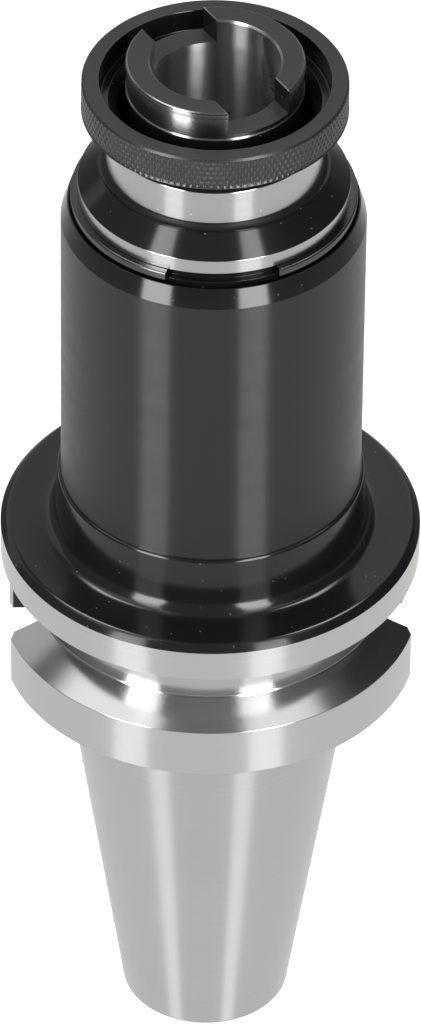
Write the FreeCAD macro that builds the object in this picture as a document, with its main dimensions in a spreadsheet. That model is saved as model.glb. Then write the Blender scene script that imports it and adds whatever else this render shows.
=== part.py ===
import FreeCAD, Part
import Sketcher
import math
import os
import re

# A quick-change tapping chuck on a 7/24 taper, size 40. The origin lies on the axis in the
# gauge plane of the taper, and +Z points along the barrel to the nose that takes the tap adapter.
# All lengths are in millimetres.

V = FreeCAD.Vector
doc = FreeCAD.newDocument("tapping_chuck")
sheet = doc.addObject("Spreadsheet::Sheet", "Sizes")

SIZES = [
    # Taper, flange and pull stud bore, all standard sizes of the 40 taper
    ("gauge_radius", 22.225),
    ("taper_length", 65.4),
    ("taper_rate", 0.1458333),
    ("flange_radius", 31.5),
    ("flange_low", 2.0),
    ("groove_low", 10.4),
    ("groove_high", 20.9),
    ("groove_depth", 5.0),
    ("groove_flank", 0.57735),
    ("flange_top", 27.0),
    ("rim_bevel", 1.05),
    ("flange_edge", 0.6),
    ("key_width", 16.1),
    ("key_floor", 22.6),
    ("key_end", 19.5),
    ("pilot_radius", 8.5),
    ("pilot_depth", 7.4),
    ("stud_radius", 6.92),
    ("stud_depth", 33.4),
    ("entry_bevel", 0.8),
    # Barrel
    ("foot_flare", 1.0),
    ("crest_flare", 0.45),
    ("foot_edge", 0.15),
    ("foot_top", 36.5),
    ("foot_share", 0.2857143),
    ("barrel_radius", 22.45),
    ("barrel_top", 86.6),
    ("mouth_drop", 0.95),
    ("mouth_taper", 3.0),
    ("mouth_step", 1.23),
    ("barrel_wall", 2.43),
    ("cavity_floor", 26.0),
    ("centre_hole", 4.3),
    ("tapped_length", 28.0),
    # Floating spindle
    ("slide_fit", 0.05),
    ("seat_fit", 0.02),
    ("push_travel", 5.0),
    ("pull_travel", 10.0),
    ("web_thick", 6.0),
    ("chamber_radius", 9.2),
    ("nose_wall", 3.57),
    ("socket_depth", 27.5),
    ("socket_bevel", 0.3),
    ("band_height", 2.3),
    ("shoulder_height", 2.97),
    ("shoulder_step", 1.1),
    ("neck_wall", 0.9),
    ("neck_height", 6.4),
    ("neck_fillet", 0.5),
    ("pocket_room", 1.93),
    ("nose_room", 6.43),
    ("nose_top", 112.0),
    ("nose_bevel", 0.27),
    ("head_height", 5.0),
    ("nose_relief", 0.22),
    ("slot_width", 10.3),
    ("slot_depth", 4.0),
    ("nose_angle", 122.0),
    # Snap ring at the mouth of the barrel
    ("snap_gap", 0.2),
    ("snap_thick", 1.4),
    ("snap_depth", 1.0),
    ("snap_clear", 0.2),
    ("snap_start", -60.0),
    ("snap_sweep", 312.0),
    # Balls that carry the tapping torque
    ("drive_ball", 2.5),
    ("drive_seat", 1.27),
    ("drive_row", 8.0),
    ("drive_step", 12.0),
    ("drive_count", 3.0),
    # Springs and the bolt that holds the float stack
    ("washer_thick", 1.0),
    ("push_spring_length", 18.0),
    ("push_room", 6.02),
    ("push_wire", 2.2),
    ("push_turns", 5.0),
    ("pull_spring_length", 20.0),
    ("pull_spring_radius", 7.2),
    ("pull_wire", 1.5),
    ("pull_turns", 5.0),
    ("bolt_radius", 4.0),
    ("bolt_head_radius", 6.5),
    ("bolt_head_height", 5.0),
    ("bolt_thread", 16.0),
    ("bolt_hex", 6.0),
    ("bolt_hex_depth", 3.0),
    ("sleeve_wall", 1.2),
    ("washer_lip", 1.3),
    ("screw_length", 7.0),
    ("screw_hex", 4.0),
    ("screw_hex_depth", 3.0),
    # Release collar with its spring, retaining ring and locking balls
    ("collar_radius", 19.5),
    ("collar_high", 108.5),
    ("collar_height", 5.4),
    ("collar_bevel", 0.35),
    ("collar_recess", 0.5),
    ("recess_step", 1.65),
    ("collar_wall", 2.65),
    ("ledge_depth", 3.5),
    ("ledge_width", 1.3),
    ("hub_wall", 0.35),
    ("hub_clear", 0.45),
    ("hub_length", 15.7),
    ("hub_rim_thick", 1.2),
    ("cam_rate", 0.3333333),
    ("retainer_thick", 0.7),
    ("retainer_depth", 0.4),
    ("retainer_sweep", 325.0),
    ("retainer_start", 45.0),
    ("lock_ball", 2.25),
    ("lock_depth", 16.0),
    ("lock_reach", 0.655),
    ("lock_relief", 0.2),
    ("relief_span", 2.4),
    ("guide_end", 95.0),
    ("pocket_floor", 81.0),
    ("seat_thick", 0.8),
    ("return_wire", 1.0),
    ("return_turns", 5.0),
]

for row, (alias, size) in enumerate(SIZES, start=1):
    sheet.set("A%d" % row, alias)
    sheet.set("B%d" % row, str(size))
    sheet.setAlias("B%d" % row, alias)
doc.recompute()

# Radii that follow from the flange, the barrel or the collar, written in the sheet's own words
GROOVE_ROOT = "(flange_radius - groove_depth)"
FOOT_RADIUS = "(barrel_radius + foot_flare)"
FOOT_CREST = "(barrel_radius + crest_flare)"
FOOT_FILLET = "(foot_share * (flange_radius - rim_bevel - %s))" % FOOT_RADIUS
BARREL_BORE = "(barrel_radius - barrel_wall)"
MOUTH_BORE = "(%s + mouth_step)" % BARREL_BORE
SPINDLE_RADIUS = "(%s - slide_fit)" % BARREL_BORE
DRIVE_PITCH = "(%s - drive_seat)" % SPINDLE_RADIUS
PUSH_RADIUS = "(%s - push_room)" % BARREL_BORE
NOSE_RADIUS = "(collar_radius - nose_room)"
SOCKET_RADIUS = "(%s - nose_wall)" % NOSE_RADIUS
POCKET_RADIUS = "(%s + pocket_room)" % NOSE_RADIUS
NECK_RADIUS = "(%s + neck_wall)" % POCKET_RADIUS
RETAINER_RADIUS = "(%s + retainer_depth)" % POCKET_RADIUS
HUB_RADIUS = "(%s - hub_clear)" % POCKET_RADIUS
HUB_BORE = "(%s - hub_wall)" % HUB_RADIUS
HUB_GUIDE = "(%s + slide_fit)" % NOSE_RADIUS
RECESS_RADIUS = "(%s + recess_step)" % HUB_RADIUS
COLLAR_BORE = "(collar_radius - collar_wall)"
LEDGE_RADIUS = "(%s - ledge_width)" % COLLAR_BORE

# Levels along the axis, each reused by every piece there
BARREL_SHELF = "(barrel_top - push_travel)"
SPINDLE_END = "(cavity_floor + 2 * washer_thick + push_spring_length)"
WEB_TOP = "(%s + web_thick)" % SPINDLE_END
PULL_LOW = "(%s + washer_thick)" % WEB_TOP
PULL_HIGH = "(%s + pull_spring_length)" % PULL_LOW
BOLT_SEAT = "(%s + washer_thick)" % PULL_HIGH
BOLT_END = "(cavity_floor - bolt_thread)"
SNAP_LOW = "(barrel_top + snap_gap)"
SNAP_HIGH = "(%s + snap_thick)" % SNAP_LOW
BAND_TOP = "(%s + band_height)" % SNAP_HIGH
SHOULDER = "(%s + shoulder_height)" % BAND_TOP
NECK_TOP = "(%s + neck_height)" % SHOULDER
SOCKET_FLOOR = "(nose_top - socket_depth)"
COLLAR_LOW = "(collar_high - collar_height)"
LEDGE = "(collar_high - ledge_depth)"
HUB_LOW = "(collar_high - hub_length)"
HUB_RIM_TOP = "(%s + hub_rim_thick)" % HUB_LOW
RETAINER_LOW = "(%s + slide_fit)" % HUB_RIM_TOP
RETAINER_HIGH = "(%s + retainer_thick)" % RETAINER_LOW
LOCK_Z = "(nose_top - lock_depth)"
LOCK_PITCH = "(%s - lock_reach + lock_ball)" % SOCKET_RADIUS
CAM_SINE = "(cam_rate / sqrt(1 + cam_rate * cam_rate))"
CAM_COSINE = "(1 / sqrt(1 + cam_rate * cam_rate))"
CAM_LOW = ("(%s - lock_ball * %s - (%s + lock_ball * %s + seat_fit / %s - %s) / cam_rate)"
           % (LOCK_Z, CAM_SINE, LOCK_PITCH, CAM_COSINE, CAM_COSINE, HUB_GUIDE))
CAM_HIGH = "(%s + (%s - %s) / cam_rate)" % (CAM_LOW, HUB_BORE, HUB_GUIDE)
BALL_ROWS = ["(%s + drive_row)" % SPINDLE_END, "(%s + drive_row + drive_step)" % SPINDLE_END]
GROOVE_END = "(%s - push_travel - drive_ball - slide_fit)" % BALL_ROWS[0]

FUNCTIONS = ("sqrt", "cos", "sin", "deg")


def bind(text):
    """Give each word of a formula the name of the sheet that holds it."""
    def point(match):
        word = match.group(0)
        return word if word in FUNCTIONS else "Sizes." + word
    return re.sub(r"[a-z_]{3,}", point, text)


def value(text):
    """The present value of a formula, as a plain number."""
    return float(sheet.evalExpression(bind(text)))


def plane(body, role):
    """The origin plane of a body with the given role."""
    for feature in body.Origin.OriginFeatures:
        if feature.Role == role:
            return feature
    raise ValueError(role)


def new_body(label):
    body = doc.addObject("PartDesign::Body", label)
    body.Label = label
    return body


def new_sketch(body, name, role):
    sketch = body.newObject("Sketcher::SketchObject", name)
    sketch.AttachmentSupport = [(plane(body, role), "")]
    sketch.MapMode = "FlatFace"
    return sketch


def outline(sketch, corners):
    """A closed outline whose corners are all tied to the sheet, as pairs of formulas."""
    points = [(value(across), value(up)) for across, up in corners]
    count = len(points)
    for index in range(count):
        start = V(points[index][0], points[index][1], 0)
        end = V(points[(index + 1) % count][0], points[(index + 1) % count][1], 0)
        sketch.addGeometry(Part.LineSegment(start, end), False)
    for index in range(count):
        sketch.addConstraint(Sketcher.Constraint("Coincident", index, 2, (index + 1) % count, 1))
    for index, (across, up) in enumerate(corners):
        for kind, text, size in (("DistanceX", across, points[index][0]),
                                 ("DistanceY", up, points[index][1])):
            number = sketch.addConstraint(Sketcher.Constraint(kind, -1, 1, index, 1, size))
            sketch.setExpression("Constraints[%d]" % number, bind(text))


def arch(body, name, half, low, high, away):
    """An arch with straight sides and a half-round top, facing outward along X."""
    sketch = new_sketch(body, name, "YZ_Plane")
    raised(sketch, away)
    spring_line = "(%s - %s)" % (high, half)
    side = value(half)
    base = value(low)
    rise = value(spring_line)
    sketch.addGeometry(Part.LineSegment(V(-side, base, 0), V(side, base, 0)), False)
    sketch.addGeometry(Part.LineSegment(V(side, base, 0), V(side, rise, 0)), False)
    round_top = Part.Circle(V(0, rise, 0), V(0, 0, 1), side)
    sketch.addGeometry(Part.ArcOfCircle(round_top, 0, math.pi), False)
    sketch.addGeometry(Part.LineSegment(V(-side, rise, 0), V(-side, base, 0)), False)
    for first, second in ((0, 1), (1, 2), (2, 3), (3, 0)):
        sketch.addConstraint(Sketcher.Constraint("Coincident", first, 2, second, 1))
    for edge, across, up in ((0, "0 - %s" % half, low), (1, half, low),
                             (2, half, spring_line), (3, "0 - %s" % half, spring_line)):
        for kind, text in (("DistanceX", across), ("DistanceY", up)):
            number = sketch.addConstraint(Sketcher.Constraint(kind, -1, 1, edge, 1, value(text)))
            sketch.setExpression("Constraints[%d]" % number, bind(text))
    number = sketch.addConstraint(Sketcher.Constraint("DistanceY", -1, 1, 2, 3, rise))
    sketch.setExpression("Constraints[%d]" % number, bind(spring_line))
    return sketch


def circle(sketch, across, up, radius):
    """A circle whose centre and radius are tied to the sheet."""
    centre = V(value(across), value(up), 0)
    number = sketch.addGeometry(Part.Circle(centre, V(0, 0, 1), value(radius)), False)
    for kind, text in (("DistanceX", across), ("DistanceY", up)):
        place = sketch.addConstraint(Sketcher.Constraint(kind, -1, 1, number, 3, value(text)))
        sketch.setExpression("Constraints[%d]" % place, bind(text))
    size = sketch.addConstraint(Sketcher.Constraint("Radius", number, value(radius)))
    sketch.setExpression("Constraints[%d]" % size, bind(radius))


def turned(label, corners, sweep=None, start=None):
    """A turned piece: an outline of (radius, height) pairs revolved about the axis."""
    body = new_body(label)
    sketch = new_sketch(body, label + "_profile", "XZ_Plane")
    outline(sketch, corners)
    revolution = body.newObject("PartDesign::Revolution", label + "_turned")
    revolution.Profile = sketch
    revolution.ReferenceAxis = (sketch, ["V_Axis"])
    revolution.Angle = 360.0
    if sweep:
        revolution.setExpression("Angle", bind(sweep))
    if start:
        body.Placement = FreeCAD.Placement(V(0, 0, 0), FreeCAD.Rotation(V(0, 0, 1), value(start)))
        body.setExpression("Placement.Rotation.Angle", bind(start))
    doc.recompute()
    return body


def ring(label, inner, outer, low, high, sweep=None, start=None):
    """A flat ring of square section."""
    corners = [(inner, low), (outer, low), (outer, high), (inner, high)]
    return turned(label, corners, sweep, start)


def pocket(body, sketch, name, depth, reverse):
    """A straight cut that has to take material away."""
    before = body.Shape.Volume
    cut = body.newObject("PartDesign::Pocket", name)
    cut.Profile = sketch
    cut.Reversed = reverse
    cut.setExpression("Length", bind(depth))
    cut.Length = value(depth)
    doc.recompute()
    if body.Shape.Volume > before - 0.01:
        raise ValueError(name + " cuts nothing")
    return cut


def around(body, feature, name, count):
    """Copies of a feature spaced evenly about the axis."""
    pattern = body.newObject("PartDesign::PolarPattern", name)
    pattern.Originals = [feature]
    pattern.Axis = (plane(body, "Z_Axis"), [""])
    pattern.Angle = 360.0
    pattern.Occurrences = count
    body.Tip = pattern
    doc.recompute()
    return pattern


def raised(sketch, height):
    """Lift a sketch from its plane to a height in the sheet."""
    sketch.AttachmentOffset = FreeCAD.Placement(V(0, 0, value(height)), FreeCAD.Rotation())
    sketch.setExpression("AttachmentOffset.Base.z", bind(height))


def drilled(body, name, radius, reach, floor, height, turn=0.0):
    """A radial hole from outside the piece down to a floor, at a turn about the axis."""
    hole = body.newObject("PartDesign::SubtractiveCylinder", name)
    hole.AttachmentSupport = [(plane(body, "XY_Plane"), "")]
    hole.MapMode = "FlatFace"
    spin = FreeCAD.Rotation(V(0, 0, 1), turn).multiply(FreeCAD.Rotation(V(0, 1, 0), 90))
    hole.AttachmentOffset = FreeCAD.Placement(V(value(floor), 0, value(height)), spin)
    hole.setExpression("AttachmentOffset.Base.x", bind(floor))
    hole.setExpression("AttachmentOffset.Base.z", bind(height))
    hole.setExpression("Radius", bind(radius))
    hole.setExpression("Height", bind(reach))
    doc.recompute()
    return hole


def round_edges(body, name, radius, spots):
    """Round the full circles that lie at the given (radius, height) pairs."""
    base = body.Tip
    names = []
    for number, edge in enumerate(base.Shape.Edges, start=1):
        if not isinstance(edge.Curve, Part.Circle):
            continue
        for across, up in spots:
            near = abs(edge.Curve.Radius - value(across)) < 0.01
            if near and abs(edge.Curve.Center.z - value(up)) < 0.01:
                names.append("Edge%d" % number)
    rounding = body.newObject("PartDesign::Fillet", name)
    rounding.Base = (base, names)
    rounding.Radius = value(radius)
    rounding.setExpression("Radius", bind(radius))
    doc.recompute()
    return rounding


def hexagon(body, name, width, height):
    """A hexagon across flats, drawn at a height on the axis."""
    sketch = new_sketch(body, name, "XY_Plane")
    raised(sketch, height)
    corner = "(%s / sqrt(3))" % width
    half = "(%s / 2)" % width
    corners = [(corner, "0 * %s" % width), ("(%s / 2)" % corner, half),
               ("(0 - %s / 2)" % corner, half), ("(0 - %s)" % corner, "0 * %s" % width),
               ("(0 - %s / 2)" % corner, "(0 - %s)" % half), ("(%s / 2)" % corner, "(0 - %s)" % half)]
    outline(sketch, corners)
    return sketch


def coil(label, radius, wire, turns, low, high):
    """A round-wire spring between two seats, wound from half turns that lean one way and the other.

    Each half turn is part of a torus tilted about Y, so its ends run level along Y and meet the
    next ones squarely.
    """
    rise = "(((%s) - (%s) - %s) / %s / 2)" % (high, low, wire, turns)
    reach = "sqrt(%s * %s + %s * %s / 4)" % (radius, radius, rise, rise)
    halves = []
    for step in range(int(2 * value(turns))):
        half = doc.addObject("Part::Torus", "%s_half_%d" % (label, step + 1))
        half.setExpression("Radius1", bind(reach))
        half.setExpression("Radius2", bind("%s / 2" % wire))
        half.Angle3 = 180.0
        lean = FreeCAD.Rotation(V(0, 1, 0), math.degrees(math.asin(value("%s / 2 / %s" % (rise, reach)))))
        turn = FreeCAD.Rotation(V(0, 0, 1), 180.0 * (step % 2))
        half.Placement = FreeCAD.Placement(V(0, 0, 0), turn.multiply(lean))
        half.setExpression("Placement.Base.z", bind("%s + %s / 2 + %s * %s" % (low, wire, rise, step + 0.5)))
        halves.append(half)
    spring = doc.addObject("Part::MultiFuse", label)
    spring.Shapes = halves
    spring.Refine = False
    spring.Label = label
    doc.recompute()
    return spring


def ball(name, radius, pitch, turn, height):
    """A ball at a pitch radius, a turn about the axis and a height."""
    sphere = doc.addObject("Part::Sphere", name)
    sphere.Radius = value(radius)
    sphere.setExpression("Radius", bind(radius))
    sphere.setExpression("Placement.Base.x", bind("%s * cos(%s * 1 deg)" % (pitch, turn)))
    sphere.setExpression("Placement.Base.y", bind("%s * sin(%s * 1 deg)" % (pitch, turn)))
    sphere.setExpression("Placement.Base.z", bind(height))
    sphere.Label = name
    return sphere


def taper_shank():
    """Taper, gripper flange and barrel, turned from one bar and bored from both ends."""
    taper_end = "(0 - taper_length)"
    end_radius = "(gauge_radius - taper_length * taper_rate)"
    groove_rise = "(groove_depth * groove_flank)"
    stud_floor = "(stud_depth - taper_length)"
    corners = [
        ("pilot_radius + entry_bevel", taper_end),
        (end_radius, taper_end),
        ("gauge_radius", "0 * flange_low"),
        ("gauge_radius", "flange_low"),
        ("flange_radius - flange_edge", "flange_low"),
        ("flange_radius", "flange_low + flange_edge"),
        ("flange_radius", "groove_low"),
        (GROOVE_ROOT, "groove_low + %s" % groove_rise),
        (GROOVE_ROOT, "groove_high - %s" % groove_rise),
        ("flange_radius", "groove_high"),
        ("flange_radius", "flange_top - rim_bevel"),
        ("flange_radius - rim_bevel", "flange_top"),
        (FOOT_RADIUS, "flange_top"),
        (FOOT_CREST, "foot_top - foot_edge"),
        ("%s - foot_edge" % FOOT_CREST, "foot_top"),
        ("barrel_radius", "foot_top"),
        ("barrel_radius", "barrel_top - mouth_taper"),
        ("barrel_radius - mouth_drop", "barrel_top"),
        (MOUTH_BORE, "barrel_top"),
        (MOUTH_BORE, BARREL_SHELF),
        (BARREL_BORE, BARREL_SHELF),
        (BARREL_BORE, "cavity_floor"),
        ("bolt_radius + seat_fit", "cavity_floor"),
        ("bolt_radius + seat_fit", "cavity_floor - tapped_length"),
        ("centre_hole", "cavity_floor - tapped_length"),
        ("centre_hole", stud_floor),
        ("stud_radius", stud_floor),
        ("stud_radius", "pilot_depth - taper_length"),
        ("pilot_radius", "pilot_depth - taper_length"),
        ("pilot_radius", "entry_bevel - taper_length"),
    ]
    body = turned("taper_shank", corners)

    # Two key slots that the machine spindle drives
    keys = arch(body, "key_slots", "key_width / 2", "flange_low - 1", "key_end", "key_floor")
    slot = pocket(body, keys, "key_slot", "flange_radius + 1 - key_floor", True)
    around(body, slot, "key_slot_pair", 2)

    # Axial half-round grooves that the torque balls run in
    run = new_sketch(body, "ball_grooves", "XY_Plane")
    raised(run, GROOVE_END)
    circle(run, "%s * cos(nose_angle * 1 deg)" % DRIVE_PITCH, "%s * sin(nose_angle * 1 deg)" % DRIVE_PITCH,
           "drive_ball + slide_fit")
    groove = pocket(body, run, "ball_groove", "%s - %s + 1" % (BARREL_SHELF, GROOVE_END), True)
    around(body, groove, "ball_groove_set", int(value("drive_count")))
    round_edges(body, "foot_rounding", FOOT_FILLET, [(FOOT_RADIUS, "flange_top")])
    return body


def float_spindle():
    """The sliding spindle: bearing land, shoulder, neck and slotted nose in one piece."""
    bore = "(bolt_radius + slide_fit)"
    groove = "(%s - snap_depth)" % SPINDLE_RADIUS
    retainer_groove = "(%s + seat_fit)" % RETAINER_RADIUS
    relief = "(%s - nose_relief)" % NOSE_RADIUS
    corners = [
        (bore, SPINDLE_END),
        (SPINDLE_RADIUS, SPINDLE_END),
        (SPINDLE_RADIUS, "%s - slide_fit" % SNAP_LOW),
        (groove, "%s - slide_fit" % SNAP_LOW),
        (groove, "%s + slide_fit" % SNAP_HIGH),
        (SPINDLE_RADIUS, "%s + slide_fit" % SNAP_HIGH),
        (SPINDLE_RADIUS, BAND_TOP),
        ("%s + shoulder_step" % NECK_RADIUS, SHOULDER),
        (NECK_RADIUS, SHOULDER),
        (NECK_RADIUS, NECK_TOP),
        (POCKET_RADIUS, NECK_TOP),
        (POCKET_RADIUS, "%s + seat_fit" % RETAINER_HIGH),
        (retainer_groove, "%s + seat_fit" % RETAINER_HIGH),
        (retainer_groove, RETAINER_LOW),
        (POCKET_RADIUS, RETAINER_LOW),
        (POCKET_RADIUS, "pocket_floor"),
        (NOSE_RADIUS, "pocket_floor"),
        (NOSE_RADIUS, "guide_end"),
        (relief, "guide_end"),
        (relief, "nose_top - head_height"),
        (NOSE_RADIUS, "nose_top - head_height"),
        (NOSE_RADIUS, "nose_top - nose_bevel"),
        ("%s - nose_bevel" % NOSE_RADIUS, "nose_top"),
        ("%s + socket_bevel" % SOCKET_RADIUS, "nose_top"),
        (SOCKET_RADIUS, "nose_top - socket_bevel"),
        (SOCKET_RADIUS, "%s + relief_span" % LOCK_Z),
        ("%s + lock_relief" % SOCKET_RADIUS, "%s + relief_span" % LOCK_Z),
        ("%s + lock_relief" % SOCKET_RADIUS, "%s - relief_span" % LOCK_Z),
        (SOCKET_RADIUS, "%s - relief_span" % LOCK_Z),
        (SOCKET_RADIUS, SOCKET_FLOOR),
        ("chamber_radius", SOCKET_FLOOR),
        ("chamber_radius", WEB_TOP),
        (bore, WEB_TOP),
    ]
    body = turned("float_spindle", corners)
    body.Placement = FreeCAD.Placement(V(0, 0, 0), FreeCAD.Rotation(V(0, 0, 1), value("nose_angle")))
    body.setExpression("Placement.Rotation.Angle", bind("nose_angle"))

    # Cross slot that drives the lugs of the tap adapter
    cross = new_sketch(body, "nose_slot", "XY_Plane")
    raised(cross, "nose_top - slot_depth")
    half = "(slot_width / 2)"
    reach = "(%s + 1)" % NOSE_RADIUS
    outline(cross, [("0 - %s" % reach, "0 - %s" % half), (reach, "0 - %s" % half),
                    (reach, half), ("0 - %s" % reach, half)])
    pocket(body, cross, "cross_slot", "slot_depth + 1", True)

    # Holes for the two locking balls, in line with the cross slot
    hole = drilled(body, "lock_hole", "lock_ball + seat_fit", "nose_wall + 1.5",
                   "%s - 1" % SOCKET_RADIUS, LOCK_Z)
    around(body, hole, "lock_holes", 2)

    # Seats of the torque balls, two rows of them
    for number, height in enumerate(BALL_ROWS, start=1):
        seat = drilled(body, "ball_seat_%d" % number, "drive_ball + seat_fit", "drive_ball * 2 + 2",
                       "%s - drive_ball - seat_fit" % DRIVE_PITCH, height)
        around(body, seat, "ball_seats_%d" % number, int(value("drive_count")))
    round_edges(body, "neck_rounding", "neck_fillet", [(NECK_RADIUS, SHOULDER)])
    return body


def snap_ring():
    """Open ring in the spindle's groove, which stops the spindle in the mouth of the barrel."""
    inner = "(%s - snap_depth + seat_fit)" % SPINDLE_RADIUS
    outer = "(%s - snap_clear)" % MOUTH_BORE
    return ring("snap_ring", inner, outer, SNAP_LOW, SNAP_HIGH, "snap_sweep", "snap_start")


def drive_balls():
    """The torque balls, seated in the spindle and running in the barrel's grooves."""
    count = 0
    for height in BALL_ROWS:
        for step in range(int(value("drive_count"))):
            count += 1
            turn = "(nose_angle + %d * 360 / drive_count)" % step
            ball("drive_ball_%d" % count, "drive_ball", DRIVE_PITCH, turn, height)
    return count


def float_bolt():
    """Socket head bolt that the pull spring hangs from."""
    corners = [
        ("0 * bolt_radius", BOLT_END),
        ("bolt_radius - entry_bevel", BOLT_END),
        ("bolt_radius", "%s + entry_bevel" % BOLT_END),
        ("bolt_radius", BOLT_SEAT),
        ("bolt_head_radius", BOLT_SEAT),
        ("bolt_head_radius", "%s + bolt_head_height" % BOLT_SEAT),
        ("0 * bolt_radius", "%s + bolt_head_height" % BOLT_SEAT),
    ]
    body = turned("float_bolt", corners)
    key = hexagon(body, "bolt_key", "bolt_hex", "%s + bolt_head_height" % BOLT_SEAT)
    pocket(body, key, "bolt_socket", "bolt_hex_depth", False)
    return body


def lock_screw():
    """Headless screw that jams the bolt from below."""
    low = "(%s - screw_length)" % BOLT_END
    corners = [
        ("0 * bolt_radius", low),
        ("bolt_radius - entry_bevel", low),
        ("bolt_radius", "%s + entry_bevel" % low),
        ("bolt_radius", "%s - entry_bevel" % BOLT_END),
        ("bolt_radius - entry_bevel", BOLT_END),
        ("0 * bolt_radius", BOLT_END),
    ]
    body = turned("lock_screw", corners)
    key = hexagon(body, "screw_key", "screw_hex", low)
    pocket(body, key, "screw_socket", "screw_hex_depth", True)
    return body


def float_stack():
    """Washers, stop sleeve and both springs of the axial float."""
    hole = "(bolt_radius + slide_fit)"
    push_outer = "(%s + push_wire / 2 + washer_lip)" % PUSH_RADIUS
    push_inner = "(%s - push_wire / 2 - washer_lip)" % PUSH_RADIUS
    pull_outer = "(pull_spring_radius + pull_wire / 2 + washer_lip / 4)"
    base_top = "(cavity_floor + washer_thick)"
    foot_low = "(%s - washer_thick)" % SPINDLE_END
    ring("base_washer", push_inner, push_outer, "cavity_floor", base_top)
    ring("spindle_washer", push_inner, push_outer, foot_low, SPINDLE_END)
    ring("web_washer", hole, pull_outer, WEB_TOP, PULL_LOW)
    ring("head_washer", hole, pull_outer, PULL_HIGH, BOLT_SEAT)
    ring("stop_sleeve", hole, "%s + sleeve_wall" % hole, "%s + pull_travel" % PULL_LOW, PULL_HIGH)
    coil("push_spring", PUSH_RADIUS, "push_wire", "push_turns", base_top, foot_low)
    coil("pull_spring", "pull_spring_radius", "pull_wire", "pull_turns", PULL_LOW, PULL_HIGH)


def release_collar():
    """Collar with a rim for the fingers and a hub whose cone holds the locking balls in."""
    corners = [
        (HUB_GUIDE, HUB_LOW),
        ("%s - slide_fit" % POCKET_RADIUS, HUB_LOW),
        ("%s - slide_fit" % POCKET_RADIUS, HUB_RIM_TOP),
        (HUB_RADIUS, HUB_RIM_TOP),
        (HUB_RADIUS, "%s + collar_recess" % COLLAR_LOW),
        (RECESS_RADIUS, "%s + collar_recess" % COLLAR_LOW),
        ("%s + collar_recess" % RECESS_RADIUS, COLLAR_LOW),
        ("collar_radius - collar_bevel", COLLAR_LOW),
        ("collar_radius", "%s + collar_bevel" % COLLAR_LOW),
        ("collar_radius", "collar_high - collar_bevel"),
        ("collar_radius - collar_bevel", "collar_high"),
        (COLLAR_BORE, "collar_high"),
        (COLLAR_BORE, LEDGE),
        (LEDGE_RADIUS, LEDGE),
        (HUB_BORE, "%s - %s + %s" % (LEDGE, LEDGE_RADIUS, HUB_BORE)),
        (HUB_BORE, CAM_HIGH),
        (HUB_GUIDE, CAM_LOW),
    ]
    return turned("release_collar", corners)


def collar_parts():
    """Retaining ring, spring seat, return spring and locking balls of the collar."""
    ring("retaining_ring", "%s + slide_fit" % HUB_RADIUS, RETAINER_RADIUS, RETAINER_LOW, RETAINER_HIGH,
         "retainer_sweep", "retainer_start")
    seat_high = "(pocket_floor + seat_thick)"
    ring("spring_seat", HUB_GUIDE, "%s - slide_fit" % POCKET_RADIUS, "pocket_floor", seat_high)
    middle = "((%s + %s) / 2)" % (NOSE_RADIUS, POCKET_RADIUS)
    coil("return_spring", middle, "return_wire", "return_turns", seat_high, HUB_LOW)
    for number, turn in enumerate(("nose_angle", "(nose_angle + 180)"), start=1):
        ball("lock_ball_%d" % number, "lock_ball", LOCK_PITCH, turn, LOCK_Z)


taper_shank()
float_spindle()
snap_ring()
ball_count = drive_balls()
float_bolt()
lock_screw()
float_stack()
release_collar()
collar_parts()
doc.recompute()

NODES = ["taper_shank", "float_spindle", "snap_ring", "float_bolt", "lock_screw", "base_washer",
         "spindle_washer", "web_washer", "head_washer", "stop_sleeve", "push_spring", "pull_spring",
         "release_collar", "retaining_ring", "spring_seat", "return_spring",
         "lock_ball_1", "lock_ball_2"]
NODES += ["drive_ball_%d" % (step + 1) for step in range(ball_count)]

for thing in doc.Objects:
    if "Invalid" in thing.State or "Error" in thing.State:
        raise ValueError("failed: " + thing.Name)

os.makedirs("parts", exist_ok=True)
for label in NODES:
    shape = doc.getObjectsByLabel(label)[0].Shape
    if shape.isNull() or not shape.isValid():
        raise ValueError("bad shape: " + label)
    shape.exportStep("parts/%s.step" % label)
    print(label, len(shape.Solids), round(shape.Volume, 1))
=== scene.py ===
import math
import bmesh
import bpy
from mathutils import Matrix, Vector


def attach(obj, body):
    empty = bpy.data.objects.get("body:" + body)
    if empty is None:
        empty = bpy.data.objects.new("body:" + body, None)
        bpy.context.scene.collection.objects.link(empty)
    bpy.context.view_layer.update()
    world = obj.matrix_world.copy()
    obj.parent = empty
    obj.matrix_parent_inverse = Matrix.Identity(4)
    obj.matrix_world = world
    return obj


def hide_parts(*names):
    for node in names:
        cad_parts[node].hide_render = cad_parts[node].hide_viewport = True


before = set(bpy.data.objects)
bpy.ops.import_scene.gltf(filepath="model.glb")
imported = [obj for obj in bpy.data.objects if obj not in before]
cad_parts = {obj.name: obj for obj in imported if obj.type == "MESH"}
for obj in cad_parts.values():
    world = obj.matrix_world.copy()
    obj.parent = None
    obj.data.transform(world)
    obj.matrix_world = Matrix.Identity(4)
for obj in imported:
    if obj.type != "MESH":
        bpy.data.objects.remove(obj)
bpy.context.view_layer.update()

MM = 0.001

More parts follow.
